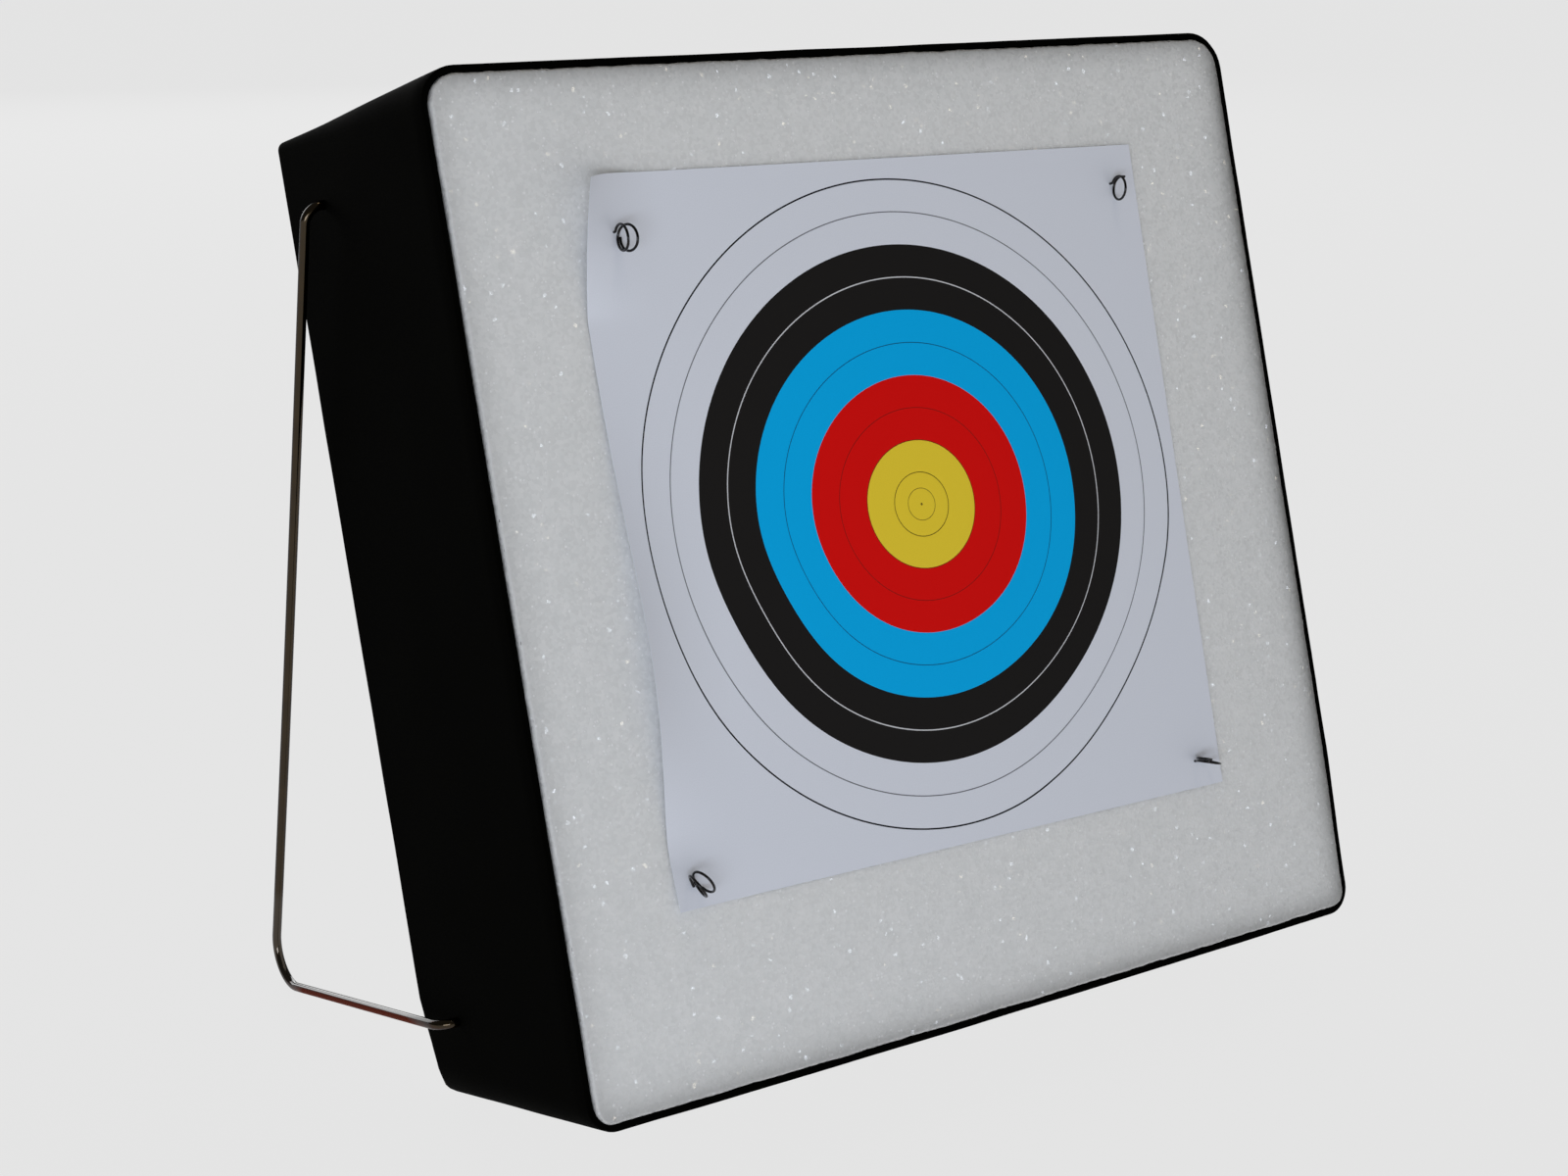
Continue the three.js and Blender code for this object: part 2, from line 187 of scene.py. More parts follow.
# The block leans back until its pressed lower edge and the foot bends stand on the floor.
LEAN = math.radians(19.8438)
LOWER_BACK_EDGE = Vector((0, -12.351 * MM, -1.5 * MM))
leaning = Matrix.Translation(LOWER_BACK_EDGE) @ Matrix.Rotation(-LEAN, 4, "X")


def add_piece(name, points, faces, place, material, body, slot, node):
    """A mesh piece that stands for a CAD node. Place moves its points, in millimetres."""
    mesh = bpy.data.meshes.new(name)
    mesh.from_pydata([place @ (Vector(p) * MM) for p in points], [], faces)
    shape = bmesh.new()
    shape.from_mesh(mesh)
    bmesh.ops.recalc_face_normals(shape, faces=shape.faces)
    shape.to_mesh(mesh)
    shape.free()
    mesh.shade_smooth()
    mesh.set_sharp_from_angle(angle=SHARP_EDGE)
    mesh.materials.append(material)
    piece = bpy.data.objects.new(name, mesh)
    scene.collection.objects.link(piece)
    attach(piece, body)
    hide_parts(node)
    return piece


def lumps(point, size, seed=0):
    """Smooth noise from -1 to 1 with lumps of about that size, in millimetres."""
    elsewhere = Vector((seed * 17.3, seed * 5.1, 0))  # each seed has its own part of the noise
    return noise.noise(Vector(point) / size + elsewhere)


def clamped(value):
    """The value, kept between 0 and 1."""
    return min(max(value, 0), 1)


def corner_radius(y, is_low, inset):
    """The radius of a corner of the block at that depth, drawn in by inset."""
    front, back = LOW_CORNER if is_low else TOP_CORNER
    radius = front + (back - front) * (1 + y / BLOCK_DEPTH)
    return radius * (1 - inset / TOP_CORNER[0])


def worn(point, inset):
    """A point of the block, pushed in where the lower back corners are worn off."""
    x, y, z = point
    inward, forward, up = WORN_BACK
    outward = Vector((1 / inward, 1 / forward, -1 / up))
    from_side = Vector((abs(x) - BLOCK / 2 + inward, y, z))
    beyond = from_side.dot(outward) / outward.length + inset
    if beyond <= 0:
        return point
    x, y, z = Vector((abs(x), y, z)) - outward.normalized() * beyond
    return math.copysign(x, point[0]), y, z


def rounded(across, up, half, corner):
    """Moves a point of a square onto a square with round corners."""
    inner = half - corner
    s, t = (max(abs(v) - inner, 0) / corner for v in (across, up))
    if s == 0 or t == 0:
        return across, up
    x = inner + corner * s * math.sqrt(1 - t * t / 2)
    z = inner + corner * t * math.sqrt(1 - s * s / 2)
    return math.copysign(x, across), math.copysign(z, up)


def to_outline(x, z, half, corner):
    """How far a point of that rounded square is from its outline."""
    x, z = (abs(v) - half + corner for v in (x, z))
    return corner - (math.hypot(x, z) if x > 0 and z > 0 else max(x, z))


def swollen(point):
    """A point of a square block, moved to where the real one has it."""
    x, y, z = point
    front = clamped((-y / BLOCK_DEPTH - SWELL_START) / SWELL_RUN)
    right = WIDER * clamped((z / BLOCK - WIDER_START) / WIDER_RUN) * max(x / BLOCK + 0.5, 0)
    round_share = 1 - ((x - BELLY_MIDDLE) / BELLY_HALF) ** 2
    belly = (BELLY + BELLY_PEAK * round_share) * max(1 - z / BLOCK, 0)
    return x + front * right, y, z + front * (TALLER * z / BLOCK - belly)


def edge_at(x, z, half):
    """How wide and how deep the front edge is worn nearest to that point of the face."""
    near_side = max(half - abs(x), 0)
    near_end = max(half - abs(z), 0)
    share = near_side / (near_side + near_end + 0.01)  # the sum of the two can be 0
    end = TOP_EDGE if z > 0 else LOW_EDGE
    return [a + (b - a) * share for a, b in zip(SIDE_EDGE, end)]


def painted_edge_shade(x, z):
    """How much painted shade darkens the foam at a point, with x and z from its middle."""
    half = BLOCK / 2 - FOAM_INSET
    light = 1
    for share, away in zip(PAINTED_EDGE_SHADE, (half + x, half - x, half + z, half - z)):
        light *= 1 - share * math.exp(-max(away, 0) / SHADE_REACH)
    return 1 - light


def plank_mesh(face_y, back_y, step, wear, is_front=False):
    """A plank whose face is a grid, worn, and on the front plank with a worn edge."""
    half = BLOCK / 2 - FOAM_INSET
    is_back = back_y < face_y
    inner = half - RIM_STEPS[-1]
    count = round(2 * inner / step)
    lines = [r - half for r in RIM_STEPS]
    lines += [inner * (2 * i / count - 1) for i in range(1, count)]
    lines += [half - r for r in reversed(RIM_STEPS)]
    count = len(lines)
    into = -1 if is_back else 1
    points = []
    for up in lines:
        for across in lines:
            corner = corner_radius(face_y, up < 0, FOAM_INSET)
            corner *= LIP_SQUARENESS if is_front and up < 0 else 1
            x, z = rounded(across, up, half, corner)
            wide, deep = edge_at(x, z, half)
            drop = is_front * max(1 - to_outline(x, z, half, corner) / wide, 0)
            depth = deep * (1 - math.sqrt(max(1 - drop * drop, 0)))
            dents = DENT * lumps((x, 0, z), WIDE_DENT) + DENT * lumps((x, 0, z), SMALL_DENT, 1)
            depth += wear * (FACE_WEAR + dents)
            fray = FRAY * (1 + lumps((x, 0, z), WIDE_FRAY, 2) + lumps((x, 0, z), SMALL_FRAY, 3))
            shrink = 1 - wear * max(fray, 0) * drop / half
            points.append((x * shrink, face_y + into * depth, z * shrink + BLOCK / 2))
    faces = [
        (r + c, r + c + 1, r + count + c + 1, r + count + c)
        for r in range(0, count * (count - 1), count)
        for c in range(count - 1)
    ]
    last = count - 1
    rim = list(range(last)) + [r * count + last for r in range(last)]
    rim += [last * count + c for c in range(last, 0, -1)] + [r * count for r in range(last, 0, -1)]
    before = rim
    for y in [face_y + into * row for row in SIDE_ROWS] + [back_y]:
        after = list(range(len(points), len(points) + len(rim)))
        for i in rim:
            up, across = (lines[v] for v in divmod(i, count))
            x, z = rounded(across, up, half, corner_radius(y, up < 0, FOAM_INSET))
            points.append((x, y, z + BLOCK / 2))
        faces += [(before[i - 1], before[i], after[i], after[i - 1]) for i in range(len(rim))]
        before = after
    return [swollen(worn(point, FOAM_INSET)) for point in points], faces + [after]


foam, tree = start_material("expanded_polyethylene")
place = add_node(tree, "ShaderNodeTexCoord").outputs["Object"]
# Closed cells of about 2 mm, each with its own brightness and gloss.
cells = add_node(tree, "ShaderNodeTexVoronoi", {"Vector": place, "Scale": 1 / (2 * MM)})
own = add_node(tree, "ShaderNodeSeparateColor", {"Color": cells.outputs["Color"]})
# Clumps of denser cells, about 12 mm across.
clumps = add_node(
    tree, "ShaderNodeTexNoise", {"Vector": place, "Scale": 1 / (12 * MM), "Detail": 3.0}
)
shade = add_node(
    tree,
    "ShaderNodeMath",
    {0: own.outputs[0], 1: 0.5, 2: clumps.outputs["Fac"]},
    operation="MULTIPLY_ADD",
)
shade = add_node(tree, "ShaderNodeMapRange", {0: shade.outputs[0], 1: 0.25, 2: 1.15})
# A mix of colours takes its share on input 0 and the two colours on inputs 6 and 7.
white = add_node(
    tree,
    "ShaderNodeMix",
    {0: shade.outputs[0], 6: linear("#e4e5e4"), 7: linear("#eeeeed")},
    data_type="RGBA",
)
# One cell in fourteen has a white speck, at most 1.4 mm across, in its middle: partly a thicker,
# whiter wall, partly a painted sparkle.
thick_wall_and_sparkle = add_node(tree, "ShaderNodeMath", {0: own.outputs[2], 1: 0.93}, operation="GREATER_THAN")
middle = add_node(
    tree, "ShaderNodeMath", {0: cells.outputs["Distance"], 1: 0.35}, operation="LESS_THAN"
)
speck_and_painted_sparkle = add_node(
    tree, "ShaderNodeMath", {0: thick_wall_and_sparkle.outputs[0], 1: middle.outputs[0]}, operation="MULTIPLY"
)
# Painted sparkle: the speck is mixed to pure white.
white = add_node(
    tree,
    "ShaderNodeMix",
    {0: speck_and_painted_sparkle.outputs[0], 6: white.outputs[2], 7: linear("#ffffff")},
    data_type="RGBA",
)
# Painted shade: near its edges the foam's colour is mixed towards a dark brown.
painted_shade_share = add_node(tree, "ShaderNodeAttribute", attribute_name="painted_edge_shade").outputs["Fac"]
white = add_node(
    tree, "ShaderNodeMix", {0: painted_shade_share, 6: white.outputs[2], 7: linear("#241d16")}, data_type="RGBA"
)
# The wall of each cell is a low dome.
domes = add_node(
    tree,
    "ShaderNodeBump",
    {"Height": cells.outputs["Distance"], "Strength": 0.15, "Distance": 0.3 * MM},
    invert=True,
)
# One cell in two has a whole, shiny wall at the surface. It faces its own way, and the few
# that face the light sparkle.
shiny = add_node(tree, "ShaderNodeMath", {0: own.outputs[1], 1: 0.5}, operation="GREATER_THAN")
facing = add_node(
    tree,
    "ShaderNodeVectorMath",
    {0: cells.outputs["Color"], 1: (0.5, 0.5, 0.5)},
    operation="SUBTRACT",
)
facing = add_node(tree, "ShaderNodeVectorMath", {0: facing.outputs[0], 3: 1.8}, operation="SCALE")
smooth = add_node(tree, "ShaderNodeNewGeometry")
facing = add_node(
    tree,
    "ShaderNodeVectorMath",
    {0: facing.outputs[0], 1: smooth.outputs["Normal"]},
    operation="ADD",
)
facing = add_node(tree, "ShaderNodeVectorMath", {0: facing.outputs[0]}, operation="NORMALIZE")
finish_material(
    tree,
    Base_Color=white.outputs[2],
    Roughness=0.6,
    Normal=domes.outputs[0],
    Coat_Weight=shiny.outputs[0],
    Coat_Roughness=0.17,
    Coat_Normal=facing.outputs[0],
    Subsurface_Weight=1.0,
    Subsurface_Radius=(1, 1, 1),
    Subsurface_Scale=8 * MM,
)

plank_depth = (BLOCK_DEPTH - (PLANKS - 1) * GAP) / PLANKS
for number in range(PLANKS):
    front = number * (plank_depth + GAP) - BLOCK_DEPTH
    ends = (front, front + plank_depth)
    node = f"foam_plank_{number + 1}"
    if number == 0:
        shape = plank_mesh(*ends, FACE_STEP, 1, is_front=True)
    elif number < PLANKS - 1:
        shape = plank_mesh(*ends, HIDDEN_STEP, 0)
    else:
        shape = plank_mesh(*ends[::-1], BACK_STEP, BACK_WEAR)
    plank = add_piece(f"{node}_cells", *shape, leaning, foam, "block", "white_foam", node)
    # Each point of a plank keeps its share of the painted edge shade.
    painted_shade_values = plank.data.attributes.new("painted_edge_shade", "FLOAT", "POINT")
    painted_shade_values.data.foreach_set("value", [painted_edge_shade(x, z - BLOCK / 2) for x, y, z in shape[0]])


# Side wrap
# One strip of black polyethylene sheet, 4 mm thick, glued round the four sides of the block.
# Its ends meet in a slit under the block. It is matt, nearly black, and cut a little unevenly.
WRAP_THICKNESS = 4
WRAP_SETBACK = 1.5  # its front edge behind the face of the foam
WRAP_SEAM = 1
WRAP_EDGE = 0.8  # radius of its edges
SOFT_SHARE = 0.3  # of that radius, how far in the middle of the rounding lies
WRAP_WAVE, WRAP_WAVE_SIZE = 0.35, 60  # of its outside
# Its front edge is cut back a little, and more or less in waves of two sizes, the small ones
# less deep. This fades out over CUT_REACH behind the edge.
CUT, CUT_WAVE, SMALL_CUT_SHARE = 0.48, 0.4, 0.6
WIDE_CUT, SMALL_CUT = 45, 6
CUT_REACH = 12
SIDE_STEPS = 60
CORNER_STEPS = 9
WRAP_ROWS = 14
WORN_ROWS = (-13, -10, -7.5, -5, -3)  # more rows of points where the back corners are worn


def outline(inset, y):
    """The outline of the block at that depth, from the seam under it and round to the seam."""
    reach = BLOCK / 2 - inset
    stops = [(WRAP_SEAM / 2, -reach)]
    for side, (x, z) in enumerate(((1, -1), (1, 1), (-1, 1), (-1, -1))):
        corner = corner_radius(y, z < 0, inset)
        for i in range(CORNER_STEPS + 1):
            angle = math.pi / 2 * (side - 1 + i / CORNER_STEPS)
            across = x * (reach - corner) + corner * math.cos(angle)
            stops.append((across, z * (reach - corner) + corner * math.sin(angle)))
    stops.append((-WRAP_SEAM / 2, -reach))
    line = []
    for (x, z), (next_x, next_z) in zip(stops, stops[1:]):
        is_straight = math.hypot(next_x - x, next_z - z) > BLOCK / 4
        steps = SIDE_STEPS if is_straight else 1
        line += [(x + (next_x - x) * i / steps, z + (next_z - z) * i / steps) for i in range(steps)]
    return line + [stops[-1]]


front = WRAP_SETBACK - BLOCK_DEPTH
level_part = -front - 2 * WRAP_EDGE
long_rows = [front + WRAP_EDGE + level_part * i / WRAP_ROWS for i in range(WRAP_ROWS + 1)]
long_rows = sorted(long_rows + list(WORN_ROWS))
soft = SOFT_SHARE * WRAP_EDGE
profile = [(WRAP_EDGE, front), (soft, front + soft)]
profile += [(0, y) for y in long_rows] + [(soft, -soft), (WRAP_EDGE, 0)]
profile += [(WRAP_THICKNESS - inset, y) for inset, y in reversed(profile)]
rings = [outline(inset, y) for inset, y in profile]
count = len(rings[0])
points = []
for (inset, y), ring in zip(profile, rings):
    outer = inset < WRAP_THICKNESS / 2
    for x, z in ring:
        swell = 1 + outer * WRAP_WAVE * lumps((x, y, z), WRAP_WAVE_SIZE, 4) / (BLOCK / 2)
        nearness = max(1 - (y - front) / CUT_REACH, 0)
        waves = lumps((x, 0, z), WIDE_CUT, 5) + SMALL_CUT_SHARE * lumps((x, 0, z), SMALL_CUT, 6)
        cut = nearness * (CUT + CUT_WAVE * waves)
        point = swollen(worn((x * swell, y + cut, z * swell + BLOCK / 2), inset))
        point = leaning @ (Vector(point) * MM)
        point.z = max(point.z, 0)  # pressed flat on the floor
        points.append(point / MM)
rows = len(profile)
faces = [
    (r * count + c, r * count + c + 1, (r + 1) % rows * count + c + 1, (r + 1) % rows * count + c)
    for r in range(rows)
    for c in range(count - 1)
]
# The two ends of the strip, at the slit.
faces += [[r * count for r in range(rows)], [r * count + count - 1 for r in range(rows)]]

skin, tree = start_material("black_polyethylene_sheet")
place = add_node(tree, "ShaderNodeTexCoord").outputs["Object"]
# The skin of the sheet has fine pebbles of about 1.2 mm, and is rubbed duller in patches of
# about 70 mm.
pebbles = add_node(
    tree, "ShaderNodeTexNoise", {"Vector": place, "Scale": 1 / (1.2 * MM), "Detail": 2.0}
)
rubbed = add_node(
    tree, "ShaderNodeTexNoise", {"Vector": place, "Scale": 1 / (70 * MM), "Detail": 5.0}
)
black = add_node(
    tree,
    "ShaderNodeMix",
    {0: rubbed.outputs["Fac"], 6: linear("#020201"), 7: linear("#050504")},
    data_type="RGBA",
)
relief = add_node(
    tree,
    "ShaderNodeBump",
    {"Height": pebbles.outputs["Fac"], "Strength": 0.4, "Distance": 0.3 * MM},
)
matt = add_node(tree, "ShaderNodeMapRange", {0: rubbed.outputs["Fac"], 3: 0.7, 4: 0.9})
finish_material(
    tree,
    Base_Color=black.outputs[2],
    Roughness=matt.outputs[0],
    Normal=relief.outputs[0],
    Specular_IOR_Level=0.008,
)
add_piece("side_wrap_sheet", points, faces, Matrix(), skin, "block", "black_wrap", "side_wrap")


# Braces
# Each is one round steel rod of 6 mm, bent cold. Its two ends are pushed into the side of the
# block. The browned steel shines on top and at the bends. Below, its foot is painted a dull
# red-brown, a painted reflection of a brown floor.
ROD_RADIUS = 3
ROD_OFFSET = 12  # from the side of the block to the middle of the rod
PRONG_LENGTH = 80
TOP_PRONG = (-53, BLOCK - 48.5)  # y and z
LOW_PRONG = (-50, 54.8)
FOOT = (202.6, LOW_PRONG[1] + 12.5)  # where leg and foot would meet
FOOT_BEND, PRONG_BEND = 24, 11  # radius of the bends, to the middle of the rod
TAPER = 8  # length of the point at each end
TIP_SHARE = 0.25  # of the radius, at the very tip
LEG_BOW = 0.6  # towards the block, at the middle of the leg
ROD_SIDES = 24
PRONG_STEPS, FOOT_STEPS, LEG_STEPS = 12, 24, 10


def bend(before, corner, after, radius, steps):
    """The arc that rounds a corner between two others."""
    arriving = (corner - before).normalized()
    leaving = (after - corner).normalized()
    turn = arriving.angle(leaving)
    inward = (leaving - arriving * arriving.dot(leaving)).normalized()
    centre = corner - arriving * radius * math.tan(turn / 2) + inward * radius
    angles = [turn * i / steps for i in range(steps + 1)]
    return [centre + radius * (arriving * math.sin(a) - inward * math.cos(a)) for a in angles]


def tube(line, radii, sides):
    """A round wire along a line of points, with its radius at each."""
    points, faces = [], []
    after, before = line[1:] + line[-1:], line[:1] + line[:-1]
    along = [(b - a).normalized() for a, b in zip(before, after)]
    square = along[0].orthogonal().normalized()
    for i, (middle, radius) in enumerate(zip(line, radii)):
        square = (square - along[i] * square.dot(along[i])).normalized()
        other = along[i].cross(square)
        for s in range(sides):
            angle = 2 * math.pi * s / sides
            points.append(middle + radius * (square * math.cos(angle) + other * math.sin(angle)))
        if i:
            at = (i - 1) * sides
            ring = [(at + s, at + (s + 1) % sides) for s in range(sides)]
            faces += [(a, b, b + sides, a + sides) for a, b in ring]
    faces += [list(range(sides)), list(range(len(points) - sides, len(points)))]
    return points, faces


steel, tree = start_material("browned_steel_rod")
place = add_node(tree, "ShaderNodeTexCoord").outputs["Object"]
# Patches of thicker oxide, about 15 mm long, and specks of 1 mm.
patches = add_node(
    tree, "ShaderNodeTexNoise", {"Vector": place, "Scale": 1 / (15 * MM), "Detail": 6.0}
)
brown = add_node(
    tree,
    "ShaderNodeMix",
    {0: patches.outputs["Fac"], 6: linear("#241a08"), 7: linear("#382a10")},
    data_type="RGBA",
)
# On its sides and below, near the ground but not in its bend, the foot is painted a dull
# red-brown, rough and not metal: a painted reflection of a brown floor. Each range here goes
# from the bare steel to this painted reflection.
normal = add_node(tree, "ShaderNodeNewGeometry").outputs["Normal"]
up = add_node(tree, "ShaderNodeSeparateXYZ", {0: normal}).outputs["Z"]
below = add_node(tree, "ShaderNodeMapRange", {0: up, 1: 0.6, 2: 0.45}).outputs[0]
spot = add_node(tree, "ShaderNodeSeparateXYZ", {0: place})
low_down = add_node(
    tree, "ShaderNodeMapRange", {0: spot.outputs["Z"], 1: 66 * MM, 2: 56 * MM}
).outputs[0]
past_bend = add_node(
    tree, "ShaderNodeMapRange", {0: spot.outputs["Y"], 1: 180 * MM, 2: 150 * MM}
).outputs[0]
painted_floor_reflection = add_node(
    tree, "ShaderNodeMath", {0: low_down, 1: past_bend}, operation="MULTIPLY"
).outputs[0]
painted_floor_reflection = add_node(tree, "ShaderNodeMath", {0: painted_floor_reflection, 1: below}, operation="MULTIPLY").outputs[0]
# Painted reflection: the underside of the foot is mixed towards a dull red-brown.
brown = add_node(
    tree, "ShaderNodeMix", {0: painted_floor_reflection, 6: brown.outputs[2], 7: linear("#561903")}, data_type="RGBA"
)
clear_of_painted_reflection = add_node(tree, "ShaderNodeMath", {0: 1.0, 1: painted_floor_reflection}, operation="SUBTRACT").outputs[0]
specks = add_node(
    tree, "ShaderNodeTexNoise", {"Vector": place, "Scale": 1 / (1.0 * MM), "Detail": 3.0}
)
drawn = add_node(
    tree,
    "ShaderNodeBump",
    {"Height": specks.outputs["Fac"], "Strength": 0.12, "Distance": 0.1 * MM},
)
polish = add_node(tree, "ShaderNodeMapRange", {0: painted_floor_reflection, 3: 0.15, 4: 0.7})
# The foot's upper side is rubbed bright.
shine = add_node(tree, "ShaderNodeMapRange", {0: low_down, 3: 0.55, 4: 1.0}).outputs[0]
shine = add_node(tree, "ShaderNodeMath", {0: shine, 1: clear_of_painted_reflection}, operation="MULTIPLY")
finish_material(
    tree,
    Base_Color=brown.outputs[2],
    Metallic=clear_of_painted_reflection,
    Roughness=polish.outputs[0],
    Normal=drawn.outputs[0],
    Specular_IOR_Level=0.1,
    Specular_Tint=linear("#6a5f52"),
    Coat_Weight=shine.outputs[0],
    Coat_Roughness=0.05,
)

for name, side in (("left_brace", -1), ("right_brace", 1)):
    out, tip = BLOCK / 2 + ROD_OFFSET, BLOCK / 2 - PRONG_LENGTH
    stops = ((tip, TOP_PRONG), (out, TOP_PRONG), (out, FOOT), (out, LOW_PRONG), (tip, LOW_PRONG))
    top_tip, top, foot, low, low_tip = (Vector((side * x, *spot)) for x, spot in stops)
    inward = Vector((-side * TAPER, 0, 0))
    line = [top_tip, top_tip - inward]
    line += bend(top_tip, top, foot, PRONG_BEND, PRONG_STEPS)
    foot_bend = bend(top, foot, low, FOOT_BEND, FOOT_STEPS)
    leg_top, leg_end = line[-1], foot_bend[0]
    for i in range(1, LEG_STEPS):
        bow = inward.normalized() * LEG_BOW * math.sin(math.pi * i / LEG_STEPS)
        line.append(leg_top.lerp(leg_end, i / LEG_STEPS) + bow)
    line += foot_bend
    line += bend(foot, low, low_tip, PRONG_BEND, PRONG_STEPS)
    line += [low_tip - inward, low_tip]
    radii = [ROD_RADIUS * TIP_SHARE] + [ROD_RADIUS] * (len(line) - 2) + [ROD_RADIUS * TIP_SHARE]
    shape = tube(line, radii, ROD_SIDES)
    add_piece(f"{name}_rod", *shape, leaning, steel, name, "steel_rod", name)


# Target face
# A sheet of thick matt paper, 425 by 424 mm, printed with scoring rings. Its left edge curls
# off the foam. The ink is solid, with a thin line round each ring.
PAPER_WIDTH = 425
PAPER_HEIGHT = 424
PAPER_THICKNESS = 0.25
PAPER_GAP = 0.15  # between the foam and the paper where it lies flat
PAPER_MIDDLE = Vector((-8.3, -BLOCK_DEPTH, 319.7)) * MM
PAPER_TURN = math.radians(0.75)
TOP_CURL, MIDDLE_CURL, BOTTOM_CURL = 20, 11.4, 3  # off the foam, at the left edge
CURL_WIDTH = 58  # along the sheet, from its left edge
# Where each curl begins and ends, in shares of half the height up from the middle.
TOP_CURL_START, BOTTOM_CURL_START = 0.61, -0.85
MIDDLE_CURL_START, MIDDLE_CURL_END = -0.82, 0.62
CURL_SKEW = 0.65  # below 1, the middle curl stands off most below its middle
RIPPLE, RIPPLE_SIZE = 0.06, 55  # all over the sheet
PAPER_STEP = 4  # between the points of the sheet
COLUMN_POWER = 1.3  # brings them closer together at the left edge
# The sheet has slipped and buckled a little, so its print is drawn along it: round each of
# these places, within a reach, by so much to the right and up.
SLIPS = (
    ((130.5, -111.7), 65, (-8, 8)),
    ((105.5, -77.2), 52.7, (5.8, -7.3)),
    ((-124.5, -54.7), 33.2, (2.3, 4.1)),
    ((-68.7, 64.9), 65, (-3.5, -2.6)),
)
SLIP_EDGE = 25  # from the edge of the sheet, where it hasn't slipped
RING_CENTRE = Vector((2.8, 0, -0.7)) * MM  # on the sheet, from its middle
face = leaning @ Matrix.Translation(PAPER_MIDDLE) @ Matrix.Rotation(PAPER_TURN, 4, "Y")


def paper_curl(x, z):
    """How far the paper stands off the foam, and is drawn to the right and up, at a point."""
    up = z / (PAPER_HEIGHT / 2)
    top = clamped((up - TOP_CURL_START) / (1 - TOP_CURL_START))
    bottom = clamped((BOTTOM_CURL_START - up) / (1 + BOTTOM_CURL_START))
    middle = clamped((up - MIDDLE_CURL_START) / (MIDDLE_CURL_END - MIDDLE_CURL_START))
    bulge = math.sin(math.pi * middle**CURL_SKEW) ** 2
    at_edge = TOP_CURL * top + MIDDLE_CURL * bulge + BOTTOM_CURL * bottom
    near = clamped(1 - (x + PAPER_WIDTH / 2) / CURL_WIDTH)
    # Half the square of the curl's slope, summed from where the curl starts.
    drawn_in = 2 / 3 * at_edge**2 * near**3 / CURL_WIDTH
    return at_edge * near**2, drawn_in, drawn_in * (bottom - top)


def paper_slip(x, z):
    """How far the print is drawn to the right and up, at a point."""
    share = clamped(min(PAPER_WIDTH / 2 - abs(x), PAPER_HEIGHT / 2 - abs(z)) / SLIP_EDGE)
    share *= share * (3 - 2 * share)  # comes in and goes out smoothly
    slip = Vector((0, 0))
    for middle, reach, way in SLIPS:
        away = (Vector((x, z)) - Vector(middle)).length / reach
        slip += Vector(way) * share * math.exp(-(away**2) / 2)
    return slip


columns = round(PAPER_WIDTH / PAPER_STEP)
rows = round(PAPER_HEIGHT / PAPER_STEP)
points, flat = [], []
for off in (PAPER_THICKNESS, 0):
    for r in range(rows + 1):
        for c in range(columns + 1):
            x = PAPER_WIDTH * ((c / columns) ** COLUMN_POWER - 0.5)
            z = PAPER_HEIGHT * (r / rows - 0.5)
            lift, right, up = paper_curl(x, z)
            ripple = RIPPLE * (1 + lumps((x, 0, z), RIPPLE_SIZE, 7))
            slip = paper_slip(x, z)
            points.append((x + right + slip.x, -PAPER_GAP - off - lift - ripple, z + up + slip.y))
            flat.append((x * MM, 0, z * MM))
wide = columns + 1
sheet = wide * (rows + 1)
faces = []
for side in (0, sheet):
    for r in range(rows):
        for c in range(columns):
            at = side + r * wide + c
            square = (at, at + 1, at + wide + 1, at + wide)
            faces.append(square[::-1] if side else square)
rim = list(range(columns)) + [r * wide + columns for r in range(rows)]
rim += [rows * wide + c for c in range(columns, 0, -1)] + [r * wide for r in range(rows, 0, -1)]
faces += [(rim[i], rim[i - 1], rim[i - 1] + sheet, rim[i] + sheet) for i in range(len(rim))]

print_ink, tree = start_material("printed_paper")
spot = add_node(tree, "ShaderNodeAttribute", attribute_name="flat_place").outputs["Vector"]
radius = add_node(
    tree, "ShaderNodeVectorMath", {0: spot, 1: RING_CENTRE}, operation="DISTANCE"
).outputs["Value"]
PAPER_COLOUR = "#e5e8f1"
# Radius in millimetres and colour of each zone, from the outside in.
ZONES = ((160, "#1e1c1b"), (120, "#00b6f9"), (80, "#e70b08"), (40, "#f7d939"))
# Radius, width and colour of each thin line. The last is the dot in the middle.
LINES = (
    (200, 1.0, "#17171c"),
    (180, 0.7, "#73747a"),
    (140, 0.7, "#dcdcdf"),
    (100, 0.5, "#0b4f7d"),
    (60, 0.5, "#9c1410"),
    (40, 0.5, "#7d2712"),
    (20, 0.55, "#6d5b12"),
    (10, 0.45, "#8c7620"),
    (0, 1.6, "#75611a"),
)
colour = linear(PAPER_COLOUR)
for zone, ink in ZONES:
    inside = add_node(tree, "ShaderNodeMath", {0: radius, 1: zone * MM}, operation="LESS_THAN")
    colour = add_node(
        tree, "ShaderNodeMix", {0: inside.outputs[0], 6: colour, 7: linear(ink)}, data_type="RGBA"
    ).outputs[2]
for at, width, ink in LINES:
    on_line = add_node(
        tree, "ShaderNodeMath", {0: radius, 1: at * MM, 2: width / 2 * MM}, operation="COMPARE"
    )
    colour = add_node(
        tree, "ShaderNodeMix", {0: on_line.outputs[0], 6: colour, 7: linear(ink)}, data_type="RGBA"
    ).outputs[2]
